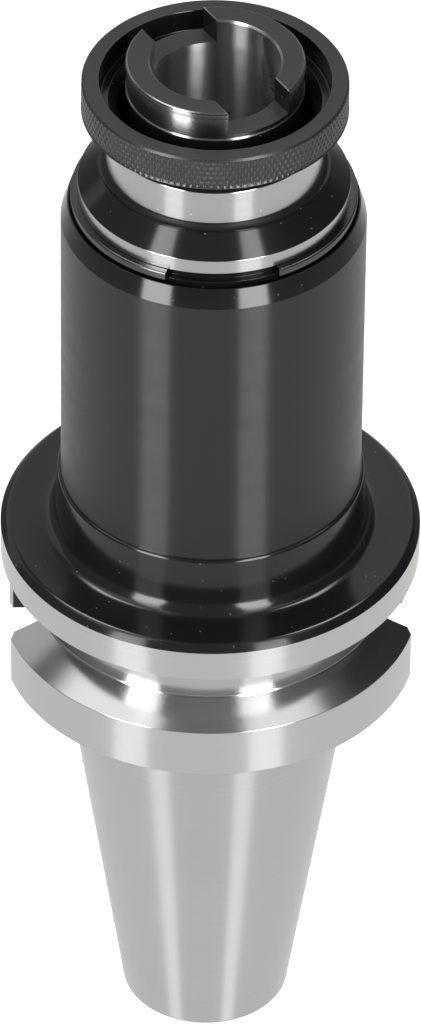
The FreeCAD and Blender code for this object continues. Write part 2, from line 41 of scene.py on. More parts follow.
# Real sizes in millimetres, the same as the solids have
GAUGE_RADIUS = 22.225
TAPER_LENGTH = 65.4
TAPER_RATE = 7 / 48
FLANGE_RADIUS = 31.5
FLANGE_LOW = 2.0
FLANGE_BEVEL = 0.4
GROOVE_LOW = 10.4
GROOVE_HIGH = 20.9
GROOVE_ROOT = 26.5
GROOVE_RISE = (FLANGE_RADIUS - GROOVE_ROOT) * math.tan(math.radians(30))
FLANGE_TOP = 27.0
RIM_BEVEL = 1.05
FOOT_RADIUS = 23.45
FOOT_CREST = 22.9
FOOT_TOP = 36.5
FOOT_FILLET = 2.0
KEY_WIDTH = 16.1
KEY_FLOOR = 22.6
KEY_END = 19.5
KEY_BEVEL_START = 29.6
KEY_BEVEL_SLOPE = 2.2
KEY_TURN = math.radians(2.0)
BARREL_RADIUS = 22.45
BARREL_TOP = 86.6
MOUTH_TAPER = 3.0
MOUTH_RADIUS = 21.5
MOUTH_BORE = 21.25
BARREL_SHELF = 81.6
BARREL_BORE = 20.02
CAVITY_FLOOR = 26.0
STUD_RADIUS = 6.92
STUD_FLOOR = -32.0
PILOT_RADIUS = 8.5
PILOT_FLOOR = -58.0
PILOT_BEVEL = 0.8
CENTRE_HOLE = 4.3
BOLT_HOLE = 4.02
TAPPED_END = -2.0
BALL_GROOVE_RADIUS = 2.55
BALL_GROOVE_PITCH = 18.7
BALL_GROOVE_LOW = 46.45

SPINDLE_RADIUS = 19.97
SPINDLE_END = 46.0
WEB_TOP = 52.0
SNAP_LOW = 86.8
SNAP_HIGH = 88.2
SNAP_GROOVE = 18.97
SNAP_RADIUS = 21.05
SNAP_PLAY = 0.05
SNAP_REST = 0.02
SNAP_START = -62.8
SNAP_SWEEP = 313.5
BAND_TOP = 90.5
SHOULDER_RADIUS = 17.0
SHOULDER = BAND_TOP + SPINDLE_RADIUS - SHOULDER_RADIUS
NECK_RADIUS = 15.9
NECK_TOP = SHOULDER + 6.4
POCKET_RADIUS = 15.0
POCKET_FLOOR = 81.0
RETAINER_LOW = 94.05
RETAINER_HIGH = 94.77
RETAINER_GROOVE = 15.42
NOSE_RADIUS = 13.07
NOSE_TOP = 112.0
GUIDE_END = 95.0
RELIEF_RADIUS = 12.85
HEAD_LOW = 107.0
NOSE_LINE = 110.85
NOSE_LINE_DEPTH = 0.12
NOSE_LIP = 0.2
SOCKET_RADIUS = 9.5
SOCKET_BEVEL = 0.3
SOCKET_FLOOR = 84.5
CHAMBER_RADIUS = 9.2
BOLT_WEB_HOLE = 4.05
SLOT_WIDTH = 10.3
SLOT_FLOOR = 108.0
SLOT_BEVEL = 0.16
NOSE_ANGLE = math.radians(122.0)
LOCK_Z = 96.0
LOCK_HOLE = 2.27
LOCK_RELIEF = 9.7
RELIEF_SPAN = 2.4

COLLAR_RADIUS = 19.5
COLLAR_LOW = 103.1
COLLAR_HIGH = 108.5
COLLAR_BEVEL = 0.35
COLLAR_BORE = 16.85
LEDGE = 105.0
LEDGE_RADIUS = 15.55
HUB_BORE = 14.2
HUB_RADIUS = 14.55
HUB_LOW = 92.8
HUB_RIM_RADIUS = 14.95
HUB_RIM_TOP = 94.0
CAM_LOW = 94.88
CAM_HIGH = 98.12
HUB_GUIDE = 13.12
RECESS_RADIUS = 16.2
RECESS = 0.5
KNURL_TEETH = 134
KNURL_ROWS = 5.5
KNURL_DEPTH = 0.2
KNURL_STEPS = 7
KNURL_LAYERS = 44
KNURL_RUN_IN = 0.35
KNURL_RUN_OUT = 0.2
KNURL_TOP_SHARE = 0.5
KNURL_REACH = 0.45

# Roundings of edges
KEEN_EDGE = 0.05
EDGE = 0.1
SOFT_EDGE = 0.2
FLANK_EDGE = 0.12
GROOVE_CORNER = 0.35
RIM_BEVEL_EDGE = 1.0
SMALL_END_EDGE = 0.5
CREST_EDGE = 0.4
CREST_STEP_EDGE = 0.04
MOUTH_EDGE = 0.06
BAND_EDGE = 0.08
NECK_FILLET = 1.0
NECK_EDGE = 0.15
NOSE_EDGE = 0.5
SNAP_EDGE = 0.25
LEDGE_FILLET = 0.3
EDGE_SHARE = 0.42
WIDE_SHARE = 0.9

# How finely things are divided
ROUND = 192
SNAP_STEPS = 240
ARCH_STEPS = 32
PEG_SIDES = 40
ARC_STEP = 18
SEAM_GUARD = 0.05
CRISP_TURN = 32.0
CLOSED = 359.9


def soft_outline(corners, guard=SEAM_GUARD):
    """Corner points with a rounding radius each, as a closed outline with arcs at the corners."""
    points = []
    count = len(corners)
    for index, (across, up, radius, *rest) in enumerate(corners):
        share = rest[0] if rest else EDGE_SHARE
        here = Vector((across, up))
        before = Vector(corners[index - 1][:2]) - here
        after = Vector(corners[(index + 1) % count][:2]) - here
        if radius <= 0:
            points.append(here)
            continue
        half = before.angle(after) / 2
        reach = min(radius / math.tan(half), share * before.length, share * after.length)
        size = reach * math.tan(half)
        start = here + before.normalized() * reach
        end = here + after.normalized() * reach
        centre = here + (before.normalized() + after.normalized()).normalized() * (size / math.sin(half))
        turn = math.pi - 2 * half
        steps = max(2, int(math.degrees(turn) / ARC_STEP) + 1)
        if before.length > 4 * (reach + guard):
            points.append(start + before.normalized() * guard)
        spread = (start - centre).angle_signed(end - centre)
        for step in range(steps + 1):
            arm = (start - centre).copy()
            arm.rotate(Matrix.Rotation(-spread * step / steps, 2))
            points.append(centre + arm)
        if after.length > 4 * (reach + guard):
            points.append(end + after.normalized() * guard)
    return points


def turn_about_z(bm, angle):
    """Turn a whole bmesh about Z and set its normals outward."""
    bmesh.ops.rotate(bm, verts=bm.verts, cent=(0, 0, 0), matrix=Matrix.Rotation(angle, 3, "Z"))
    bmesh.ops.recalc_face_normals(bm, faces=bm.faces)


def pushed(outline, near, far):
    """A bmesh prism of (y, z) points between two places along X, and its far vertices."""
    bm = bmesh.new()
    face = bm.faces.new([bm.verts.new((near * MM, y * MM, z * MM)) for y, z in outline])
    out = bmesh.ops.extrude_face_region(bm, geom=[face])
    moved = [item for item in out["geom"] if isinstance(item, bmesh.types.BMVert)]
    bmesh.ops.translate(bm, verts=moved, vec=((far - near) * MM, 0, 0))
    return bm, moved


def spun(corners, sweep=360.0, start=0.0, steps=ROUND):
    """A bmesh turned about Z from an outline of (radius, height, rounding) in millimetres."""
    bm = bmesh.new()
    verts = [bm.verts.new((p.x * MM, 0, p.y * MM)) for p in soft_outline(corners)]
    edges = [bm.edges.new((verts[i - 1], verts[i])) for i in range(len(verts))]
    full = sweep > CLOSED
    if not full:
        bm.faces.new(verts)
    geom = verts + edges + list(bm.faces)
    bmesh.ops.spin(bm, geom=geom, axis=(0, 0, 1), cent=(0, 0, 0), angle=math.radians(sweep),
                   steps=steps, use_merge=full)
    bmesh.ops.remove_doubles(bm, verts=bm.verts, dist=1e-7)
    turn_about_z(bm, math.radians(start))
    return bm


def sharpen(bm, limit=CRISP_TURN):
    """Smooth shading, with the edges that turn more than the limit kept crisp."""
    for face in bm.faces:
        face.smooth = True
    for edge in bm.edges:
        crisp = len(edge.link_faces) == 2 and edge.calc_face_angle(0) > math.radians(limit)
        edge.smooth = not crisp


def piece(name, bm, materials, choose=None):
    """A scene object from a bmesh, with each face's material chosen from where it lies and looks."""
    sharpen(bm)
    if choose:
        for face in bm.faces:
            centre = face.calc_center_median() / MM
            radius = math.hypot(centre.x, centre.y)
            outward = (centre.x * face.normal.x + centre.y * face.normal.y) / max(radius, 0.01)
            face.material_index = materials.index(choose(radius, centre.z, face.normal.z, outward))
    mesh = bpy.data.meshes.new(name)
    bm.to_mesh(mesh)
    bm.free()
    for material in materials:
        mesh.materials.append(material)
    thing = bpy.data.objects.new(name, mesh)
    bpy.context.scene.collection.objects.link(thing)
    return thing


def carve(bm, cutter):
    """The bmesh with the cutter's solid taken away."""
    things = []
    for name, part in (("carved", bm), ("cutter", cutter)):
        mesh = bpy.data.meshes.new(name)
        part.to_mesh(mesh)
        part.free()
        thing = bpy.data.objects.new(name, mesh)
        bpy.context.scene.collection.objects.link(thing)
        things.append(thing)
    body, tool = things
    cut = body.modifiers.new("cut", "BOOLEAN")
    cut.operation = "DIFFERENCE"
    cut.solver = "EXACT"
    cut.object = tool
    result = bmesh.new()
    result.from_object(body, bpy.context.evaluated_depsgraph_get())
    for thing in things:
        mesh = thing.data
        bpy.data.objects.remove(thing)
        bpy.data.meshes.remove(mesh)
    return result


def arch_prism(half, low, high, near, far, turn, flare=0.0):
    """An arch with straight sides and a half-round top, pushed out along a turned X axis and widened."""
    outline = [(-half, low), (half, low)]
    for step in range(ARCH_STEPS + 1):
        angle = math.pi * step / ARCH_STEPS
        outline.append((half * math.cos(angle), high - half + half * math.sin(angle)))
    bm, moved = pushed(outline, near, far)
    bmesh.ops.scale(bm, verts=moved, vec=(1, 1 + flare / half, 1))
    turn_about_z(bm, turn)
    return bm


def slot_bar(half, low, high, bevel, reach, turn):
    """A long bar for the cross slot, which widens by the bevel at its top, turned about Z."""
    outline = [(-half, low), (half, low), (half, high - bevel), (half + bevel + 1, high + 1),
               (-half - bevel - 1, high + 1), (-half, high - bevel)]
    bm, _ = pushed(outline, -reach, reach)
    turn_about_z(bm, turn)
    return bm


def peg(radius, low, high, place, matrix=None, segments=PEG_SIDES):
    """A round peg along Z from low to high at a place in millimetres, then turned as a whole."""
    bm = bmesh.new()
    middle = Vector((place[0], place[1], (low + high) / 2)) * MM
    bmesh.ops.create_cone(bm, cap_ends=True, segments=segments, radius1=radius * MM, radius2=radius * MM,
                          depth=(high - low) * MM, matrix=Matrix.Translation(middle))
    if matrix:
        bmesh.ops.transform(bm, matrix=matrix, verts=bm.verts)
    return bm


def link(tree, start, end):
    tree.links.new(start, end)


def math_node(tree, operation, first, second=None, clamp=False):
    """A Math node whose inputs are numbers or sockets."""
    node = tree.nodes.new("ShaderNodeMath")
    node.operation = operation
    node.use_clamp = clamp
    for socket, source in zip(node.inputs, (first, second)):
        if source is None:
            continue
        if isinstance(source, (int, float)):
            socket.default_value = source
        else:
            link(tree, source, socket)
    return node.outputs[0]


def group(name, inputs, outputs):
    """A shader node group with named inputs and outputs, each with its kind and value."""
    tree = bpy.data.node_groups.new(name, "ShaderNodeTree")
    for label, kind, number in inputs:
        socket = tree.interface.new_socket(name=label, in_out="INPUT", socket_type=kind)
        if number is not None:
            socket.default_value = number
    for label, kind in outputs:
        tree.interface.new_socket(name=label, in_out="OUTPUT", socket_type=kind)
    start = tree.nodes.new("NodeGroupInput")
    end = tree.nodes.new("NodeGroupOutput")
    return tree, start.outputs, end.inputs


DRIFT_SCALE = 60.0
BAND_FACTOR = 0.12
SPECK_CRISPNESS = 20.0


def turning_marks():
    """Fine rings left by the lathe or the grinding wheel, which run round the Z axis."""
    tree, given, wanted = group(
        "turning marks",
        [("Vector", "NodeSocketVector", None), ("Rings", "NodeSocketFloat", 6000.0),
         ("Waver", "NodeSocketFloat", 0.2)],
        [("Height", "NodeSocketFloat"), ("Band", "NodeSocketFloat")])
    split = tree.nodes.new("ShaderNodeSeparateXYZ")
    link(tree, given["Vector"], split.inputs[0])
    length = math_node(tree, "POWER", math_node(
        tree, "ADD", math_node(tree, "MULTIPLY", split.outputs["X"], split.outputs["X"]),
        math_node(tree, "MULTIPLY", split.outputs["Y"], split.outputs["Y"])), 0.5)
    along = math_node(tree, "ADD", split.outputs["Z"], length)
    drift = tree.nodes.new("ShaderNodeTexNoise")
    drift.inputs["Scale"].default_value = DRIFT_SCALE
    link(tree, given["Vector"], drift.inputs["Vector"])
    swing = math_node(tree, "MULTIPLY", drift.outputs[0], given["Waver"])
    swing = math_node(tree, "MULTIPLY", swing, MM)
    along = math_node(tree, "ADD", along, swing)
    for label, factor, detail in (("Height", 1.0, 3.0), ("Band", BAND_FACTOR, 2.0)):
        noise = tree.nodes.new("ShaderNodeTexNoise")
        noise.noise_dimensions = "1D"
        noise.inputs["Scale"].default_value = 1.0
        noise.inputs["Detail"].default_value = detail
        link(tree, math_node(tree, "MULTIPLY", math_node(tree, "MULTIPLY", along, given["Rings"]), factor),
             noise.inputs["W"])
        link(tree, noise.outputs[0], wanted[label])
    return tree


def specks():
    """Small pits and grains scattered over a surface."""
    tree, given, wanted = group(
        "specks",
        [("Vector", "NodeSocketVector", None), ("Scale", "NodeSocketFloat", 500.0),
         ("Size", "NodeSocketFloat", 0.12), ("Share", "NodeSocketFloat", 0.1)],
        [("Mask", "NodeSocketFloat")])
    cell = tree.nodes.new("ShaderNodeTexVoronoi")
    link(tree, given["Vector"], cell.inputs["Vector"])
    link(tree, given["Scale"], cell.inputs["Scale"])
    near = math_node(tree, "SUBTRACT", given["Size"], cell.outputs["Distance"])
    dot = math_node(tree, "MULTIPLY", near, SPECK_CRISPNESS, clamp=True)
    split = tree.nodes.new("ShaderNodeSeparateColor")
    link(tree, cell.outputs["Color"], split.inputs[0])
    kept = math_node(tree, "LESS_THAN", split.outputs[0], given["Share"])
    link(tree, math_node(tree, "MULTIPLY", dot, kept), wanted["Mask"])
    return tree


def blotches():
    """Slow uneven colour over a treated surface."""
    tree, given, wanted = group(
        "blotches",
        [("Vector", "NodeSocketVector", None), ("Scale", "NodeSocketFloat", 40.0)],
        [("Value", "NodeSocketFloat")])
    noise = tree.nodes.new("ShaderNodeTexNoise")
    noise.inputs["Detail"].default_value = 4.0
    noise.inputs["Roughness"].default_value = 0.6
    link(tree, given["Vector"], noise.inputs["Vector"])
    link(tree, given["Scale"], noise.inputs["Scale"])
    link(tree, noise.outputs[0], wanted["Value"])
    return tree


MARKS = turning_marks()
SPECKS = specks()
BLOTCHES = blotches()

NOISE_RANGE = (0.25, 0.75)
TONE_SHARE = 0.6
BAND_SHARE = 0.4
STRETCH_ALONG_Z = 0.25


def placed(tree, inner, **values):
    """A node group in a material, with its own values and object coordinates."""
    node = tree.nodes.new("ShaderNodeGroup")
    node.node_tree = inner
    place = tree.nodes.new("ShaderNodeTexCoord")
    link(tree, place.outputs["Object"], node.inputs["Vector"])
    for label, number in values.items():
        node.inputs[label].default_value = number
    return node.outputs


def blend_colour(tree, factor, first, second):
    node = tree.nodes.new("ShaderNodeMix")
    node.data_type = "RGBA"
    link(tree, factor, node.inputs["Factor"])
    for socket, source in ((node.inputs["A"], first), (node.inputs["B"], second)):
        if isinstance(source, tuple):
            socket.default_value = (*source, 1.0)
        else:
            link(tree, source, socket)
    return node.outputs["Result"]


def mapped(tree, source, *ends):
    """A value carried from one range of numbers to another and held at its ends."""
    node = tree.nodes.new("ShaderNodeMapRange")
    link(tree, source, node.inputs["Value"])
    for label, number in zip(("From Min", "From Max", "To Min", "To Max"), ends):
        node.inputs[label].default_value = number
    return node.outputs[0]


def spread(tree, source, low, high):
    """A noise value, most of which lies round its middle, spread between two numbers."""
    return mapped(tree, source, *NOISE_RANGE, low, high)


def finish(name, colour, dark, metallic, rough, specular=0.5, rings=6000.0, depth=0.002, waver=0.2,
           blotch=40.0, speck=None, aniso=0.0, grain=None):
    """A machined finish: rings, uneven tone, and if wanted specks and grain, over two colours.

    Depth is the height of the marks in millimetres. A speck is its scale, size, share, colour and
    depth; a grain is its scale and depth.
    """
    material = bpy.data.materials.new(name)
    material.use_nodes = True
    tree = material.node_tree
    shader = tree.nodes["Principled BSDF"]
    shader.inputs["Metallic"].default_value = metallic
    shader.inputs["Specular IOR Level"].default_value = specular
    shader.inputs["Anisotropic"].default_value = aniso
    shader.inputs["Anisotropic Rotation"].default_value = STRETCH_ALONG_Z
    marks = placed(tree, MARKS, Rings=rings, Waver=waver)
    tone = placed(tree, BLOTCHES, Scale=blotch)
    mixed = math_node(tree, "ADD", math_node(tree, "MULTIPLY", tone["Value"], TONE_SHARE),
                      math_node(tree, "MULTIPLY", marks["Band"], BAND_SHARE))
    base = blend_colour(tree, spread(tree, mixed, 0.0, 1.0), dark, colour)
    roughness = spread(tree, mixed, rough[0], rough[1])
    height = marks["Height"]
    if speck:
        dots = placed(tree, SPECKS, Scale=speck[0], Size=speck[1], Share=speck[2])
        base = blend_colour(tree, dots["Mask"], base, speck[3])
        height = math_node(tree, "SUBTRACT", height, math_node(tree, "MULTIPLY", dots["Mask"], speck[4]))
    if grain:
        fine = placed(tree, BLOTCHES, Scale=grain[0])
        height = math_node(tree, "ADD", height, math_node(tree, "MULTIPLY", fine["Value"], grain[1]))
    link(tree, base, shader.inputs["Base Color"])
    link(tree, roughness, shader.inputs["Roughness"])
    bump = tree.nodes.new("ShaderNodeBump")
    bump.inputs["Strength"].default_value = 1.0
    bump.inputs["Distance"].default_value = depth * MM
    link(tree, height, bump.inputs["Height"])
    link(tree, bump.outputs[0], shader.inputs["Normal"])
    return material


GROUND = finish("ground_steel", (0.59, 0.59, 0.59), (0.56, 0.56, 0.56), 1.0, (0.18, 0.24), rings=12000.0,
                depth=0.0003, aniso=0.7)
TAPER = finish("taper_ground_steel", (0.55, 0.55, 0.55), (0.51, 0.51, 0.51), 1.0, (0.20, 0.26),
               rings=12000.0, depth=0.0004, aniso=0.7)
GROOVE = finish("bright_turned_steel", (0.53, 0.53, 0.53), (0.48, 0.48, 0.48), 1.0, (0.11, 0.16),
                rings=5000.0, depth=0.0006, aniso=0.3, speck=(700.0, 0.1, 0.02, (0.3, 0.3, 0.3), 0.5))
NECK = finish("neck_ground_steel", (0.54, 0.54, 0.54), (0.50, 0.50, 0.50), 1.0, (0.16, 0.22), rings=9000.0,
              depth=0.0006, aniso=0.8, speck=(600.0, 0.12, 0.12, (0.8, 0.8, 0.8), 0.3))
SATIN = finish("satin_blackened_steel", (0.013, 0.013, 0.014), (0.009, 0.009, 0.010), 0.0, (0.21, 0.28),
               specular=0.46, rings=2600.0, depth=0.003, blotch=900.0, aniso=1.0, grain=(1400.0, 1.6),
               speck=(350.0, 0.09, 0.03, (0.08, 0.08, 0.08), 0.4))
GLOSS = finish("polished_blackened_steel", (0.008, 0.008, 0.009), (0.005, 0.005, 0.006), 0.0, (0.10, 0.15),
               specular=0.42, rings=3500.0, depth=0.001, blotch=60.0, aniso=0.3, grain=(2600.0, 1.2),
               speck=(650.0, 0.11, 0.4, (0.08, 0.08, 0.08), 0.8))
MATT = finish("dull_blackened_steel", (0.022, 0.022, 0.023), (0.017, 0.017, 0.018), 0.0, (0.40, 0.5),
              specular=0.35, rings=5000.0, depth=0.002)
# Dull black with weak specular for the fillet at the neck's foot: painted shade in the concave fillet,
# which stops its highlights.
FILLET_PAINTED_SHADE = finish("fillet_painted_shade_black", (0.012, 0.012, 0.012), (0.008, 0.008, 0.008), 0.0, (0.30, 0.4),
              specular=0.12, rings=5000.0, depth=0.001)
KNURL = finish("knurled_blackened_steel", (0.020, 0.020, 0.021), (0.014, 0.014, 0.015), 0.0, (0.22, 0.3),
               specular=0.5, rings=5000.0, depth=0.001, grain=(1800.0, 2.0))
BORE = finish("turned_bore_steel", (0.46, 0.46, 0.46), (0.37, 0.37, 0.37), 1.0, (0.26, 0.34), rings=3000.0,
              depth=0.001, blotch=300.0, aniso=1.0, grain=(1600.0, 1.0),
              speck=(500.0, 0.14, 0.06, (0.1, 0.1, 0.1), 0.8))
NOSE = finish("worn_nose_steel", (0.36, 0.36, 0.36), (0.30, 0.30, 0.30), 1.0, (0.25, 0.29), rings=3000.0,
              depth=0.001, blotch=300.0, aniso=0.95, grain=(1600.0, 1.0))
SPRING = finish("oil_tempered_wire", (0.20, 0.20, 0.21), (0.12, 0.12, 0.13), 1.0, (0.25, 0.35),
                rings=3000.0)
RING = finish("spring_ring_steel", (0.13, 0.13, 0.13), (0.07, 0.07, 0.07), 1.0, (0.16, 0.24), rings=9000.0)
WASHER = finish("washer_ground_steel", (0.50, 0.50, 0.51), (0.40, 0.40, 0.41), 1.0, (0.24, 0.34),
                rings=7000.0)
SCREW = finish("black_screw_steel", (0.030, 0.030, 0.031), (0.018, 0.018, 0.019), 0.0, (0.28, 0.38),
               specular=0.8)
BALL = finish("bearing_ball_steel", (0.72, 0.72, 0.73), (0.66, 0.66, 0.67), 1.0, (0.05, 0.09), depth=0.0002)


# How far past an edge a finish is told from its neighbour
HAIR = 0.01
TOUCH = 0.02
NEAR = 0.05
PAST = 0.1
BEYOND = 0.2
CLEAR = 0.3

# Parts of a unit normal
ALONG = 0.9
HALF = 0.5
STRAIGHT = 0.999

PILOT_LIP = 0.4
SLOT_FLOOR_DROP = 1.5
FLOOR_SPARE = 0.5


def shank_finish(radius, height, upward, outward):
    """Which finish a point of the shank has: ground, bright groove, glossy, satin or dull."""
    if radius < MOUTH_BORE + TOUCH and height > CAVITY_FLOOR - NEAR:
        return MATT
    if height < FLANGE_LOW - CLEAR:
        return MATT if radius < PILOT_RADIUS + PILOT_LIP else TAPER
    slot_wall = abs(upward) < STRAIGHT and radius < FLANGE_RADIUS - CLEAR and height < GROOVE_LOW - PAST
    slot_floor = radius < GROOVE_ROOT - SLOT_FLOOR_DROP and height < KEY_END + FLOOR_SPARE
    if (slot_wall or slot_floor) and radius > GAUGE_RADIUS + BEYOND and height > FLANGE_LOW + BEYOND:
        return SATIN
    if height < GROOVE_LOW + TOUCH:
        return GROUND
    if radius > FLANGE_RADIUS - PAST and height < FLANGE_TOP - RIM_BEVEL + NEAR:
        return GROUND
    if height < GROOVE_HIGH + BEYOND:
        return GROOVE
    if height < FOOT_TOP + TOUCH:
        return GLOSS
    if height < BARREL_TOP - MOUTH_TAPER + TOUCH:
        return SATIN
    return GLOSS


def make_shank():
    """Taper, flange and barrel as one turned piece, with key slots and ball grooves."""
    small_end = GAUGE_RADIUS - TAPER_LENGTH * TAPER_RATE
    corners = [
        (PILOT_RADIUS + PILOT_BEVEL, -TAPER_LENGTH, EDGE),
        (small_end, -TAPER_LENGTH, SMALL_END_EDGE),
        (GAUGE_RADIUS, 0.0, SOFT_EDGE),
        (GAUGE_RADIUS, FLANGE_LOW, EDGE),
        (FLANGE_RADIUS - FLANGE_BEVEL, FLANGE_LOW, EDGE),
        (FLANGE_RADIUS, FLANGE_LOW + FLANGE_BEVEL, EDGE),
        (FLANGE_RADIUS, GROOVE_LOW, EDGE),
        (GROOVE_ROOT, GROOVE_LOW + GROOVE_RISE, GROOVE_CORNER),
        (GROOVE_ROOT, GROOVE_HIGH - GROOVE_RISE, GROOVE_CORNER),
        (FLANGE_RADIUS, GROOVE_HIGH, FLANK_EDGE),
        (FLANGE_RADIUS, FLANGE_TOP - RIM_BEVEL, 0.0),
        (FLANGE_RADIUS - RIM_BEVEL, FLANGE_TOP, RIM_BEVEL_EDGE),
        (FOOT_RADIUS, FLANGE_TOP, FOOT_FILLET),
        (FOOT_CREST, FOOT_TOP, CREST_EDGE, WIDE_SHARE),
        (BARREL_RADIUS, FOOT_TOP, CREST_STEP_EDGE),
        (BARREL_RADIUS, BARREL_TOP - MOUTH_TAPER, FLANK_EDGE),
        (MOUTH_RADIUS, BARREL_TOP, MOUTH_EDGE),
        (MOUTH_BORE, BARREL_TOP, KEEN_EDGE),
        (MOUTH_BORE, BARREL_SHELF, KEEN_EDGE),
        (BARREL_BORE, BARREL_SHELF, KEEN_EDGE),
        (BARREL_BORE, CAVITY_FLOOR, SOFT_EDGE),
        (BOLT_HOLE, CAVITY_FLOOR, EDGE),
        (BOLT_HOLE, TAPPED_END, 0.0),
        (CENTRE_HOLE, TAPPED_END, 0.0),
        (CENTRE_HOLE, STUD_FLOOR, EDGE),
        (STUD_RADIUS, STUD_FLOOR, SOFT_EDGE),
        (STUD_RADIUS, PILOT_FLOOR, EDGE),
        (PILOT_RADIUS, PILOT_FLOOR, EDGE),
        (PILOT_RADIUS, -TAPER_LENGTH + PILOT_BEVEL, KEEN_EDGE),
    ]
    bm = spun(corners)
    for turn in (KEY_TURN, KEY_TURN + math.pi):
        bm = carve(bm, arch_prism(KEY_WIDTH / 2, FLANGE_LOW - 1, KEY_END, KEY_FLOOR,
                                  FLANGE_RADIUS + 1, turn))
        flare = (FLANGE_RADIUS + 1 - KEY_BEVEL_START) * KEY_BEVEL_SLOPE
        bm = carve(bm, arch_prism(KEY_WIDTH / 2, FLANGE_LOW - 1, KEY_END, KEY_BEVEL_START,
                                  FLANGE_RADIUS + 1, turn, flare))
    for step in range(3):
        angle = NOSE_ANGLE + step * math.tau / 3
        place = (BALL_GROOVE_PITCH * math.cos(angle), BALL_GROOVE_PITCH * math.sin(angle))
        bm = carve(bm, peg(BALL_GROOVE_RADIUS, BALL_GROOVE_LOW, BARREL_SHELF + 1, place))
    return piece("shank_turned", bm, [TAPER, GROOVE, GLOSS, SATIN, MATT, GROUND], shank_finish)


def spindle_finish(radius, height, upward, outward):
    """Which finish a point of the spindle has: on its nose, then from the neck down, with painted shade in
    the relief under the lip and in the neck's fillet.
    """
    if radius < NOSE_RADIUS + NEAR and height > POCKET_FLOOR:
        if height > SLOT_FLOOR - FLOOR_SPARE and upward > ALONG:
            return MATT
        if height > SLOT_FLOOR and abs(upward) < HALF and abs(outward) < ALONG:
            return GLOSS
        if radius < RELIEF_RADIUS - PAST:
            return BORE
        # Below the lip the relief wall takes the black gloss: painted shade in the recess under the nose's
        # head.
        return NOSE if height > HEAD_LOW - HAIR else GLOSS
    if height > SHOULDER + NECK_FILLET:
        return NECK if radius > POCKET_RADIUS + NEAR and upward < ALONG else MATT
    # The fillet at the neck's foot: painted shade, darker and duller than the glossy black cone below it.
    if height > SHOULDER + PAST:
        return FILLET_PAINTED_SHADE
    if height > BAND_TOP + TOUCH:
        return GLOSS
    if height > SNAP_HIGH + TOUCH and radius > SPINDLE_RADIUS - BEYOND:
        return NECK
    return GLOSS


def make_spindle():
    """The floating spindle with its neck pocket, slotted nose and ball holes."""
    corners = [
        (BOLT_WEB_HOLE, SPINDLE_END, EDGE),
        (SPINDLE_RADIUS, SPINDLE_END, LEDGE_FILLET),
        (SPINDLE_RADIUS, SNAP_LOW - SNAP_PLAY, KEEN_EDGE),
        (SNAP_GROOVE, SNAP_LOW - SNAP_PLAY, KEEN_EDGE),
        (SNAP_GROOVE, SNAP_HIGH + SNAP_PLAY, KEEN_EDGE),
        (SPINDLE_RADIUS, SNAP_HIGH + SNAP_PLAY, BAND_EDGE),
        (SPINDLE_RADIUS, BAND_TOP, BAND_EDGE),
        (SHOULDER_RADIUS, SHOULDER, EDGE),
        (NECK_RADIUS, SHOULDER, NECK_FILLET, WIDE_SHARE),
        (NECK_RADIUS, NECK_TOP, NECK_EDGE),
        (POCKET_RADIUS, NECK_TOP, EDGE),
        (POCKET_RADIUS, RETAINER_HIGH, 0.0),
        (RETAINER_GROOVE, RETAINER_HIGH, 0.0),
        (RETAINER_GROOVE, RETAINER_LOW, 0.0),
        (POCKET_RADIUS, RETAINER_LOW, 0.0),
        (POCKET_RADIUS, POCKET_FLOOR, SOFT_EDGE),
        (NOSE_RADIUS, POCKET_FLOOR, SOFT_EDGE),
        (NOSE_RADIUS, GUIDE_END, KEEN_EDGE),
        (RELIEF_RADIUS, GUIDE_END, KEEN_EDGE),
        (RELIEF_RADIUS, HEAD_LOW, KEEN_EDGE),
        (NOSE_RADIUS, HEAD_LOW, KEEN_EDGE),
        (NOSE_RADIUS, HEAD_LOW + NOSE_LIP, KEEN_EDGE),
        (NOSE_RADIUS - NOSE_LIP, HEAD_LOW + 2 * NOSE_LIP, KEEN_EDGE),
        (NOSE_RADIUS - NOSE_LIP, NOSE_LINE - NOSE_LINE_DEPTH, 0.0),
        (NOSE_RADIUS - 2 * NOSE_LINE_DEPTH, NOSE_LINE, 0.0),
        (NOSE_RADIUS, NOSE_LINE + NOSE_LINE_DEPTH, EDGE),
        (NOSE_RADIUS, NOSE_TOP, NOSE_EDGE),
        (SOCKET_RADIUS + SOCKET_BEVEL, NOSE_TOP, EDGE),
        (SOCKET_RADIUS, NOSE_TOP - SOCKET_BEVEL, EDGE),
        (SOCKET_RADIUS, LOCK_Z + RELIEF_SPAN, 0.0),
        (LOCK_RELIEF, LOCK_Z + RELIEF_SPAN, 0.0),
        (LOCK_RELIEF, LOCK_Z - RELIEF_SPAN, 0.0),
        (SOCKET_RADIUS, LOCK_Z - RELIEF_SPAN, 0.0),
        (SOCKET_RADIUS, SOCKET_FLOOR, 0.0),
        (CHAMBER_RADIUS, SOCKET_FLOOR, 0.0),
        (CHAMBER_RADIUS, WEB_TOP, SOFT_EDGE),
        (BOLT_WEB_HOLE, WEB_TOP, EDGE),
    ]
    bm = spun(corners)
    bm = carve(bm, slot_bar(SLOT_WIDTH / 2, SLOT_FLOOR, NOSE_TOP, SLOT_BEVEL, NOSE_RADIUS + 1, NOSE_ANGLE))
    for turn in (0.0, math.pi):
        across = Matrix.Rotation(NOSE_ANGLE + turn, 4, "Z") @ Matrix.Translation((0, 0, LOCK_Z * MM))
        across = across @ Matrix.Rotation(math.pi / 2, 4, "Y")
        bm = carve(bm, peg(LOCK_HOLE, SOCKET_RADIUS - 1, NOSE_RADIUS + 0.5, (0, 0), across))
    return piece("spindle_turned", bm, [NECK, GLOSS, MATT, BORE, NOSE, FILLET_PAINTED_SHADE], spindle_finish)


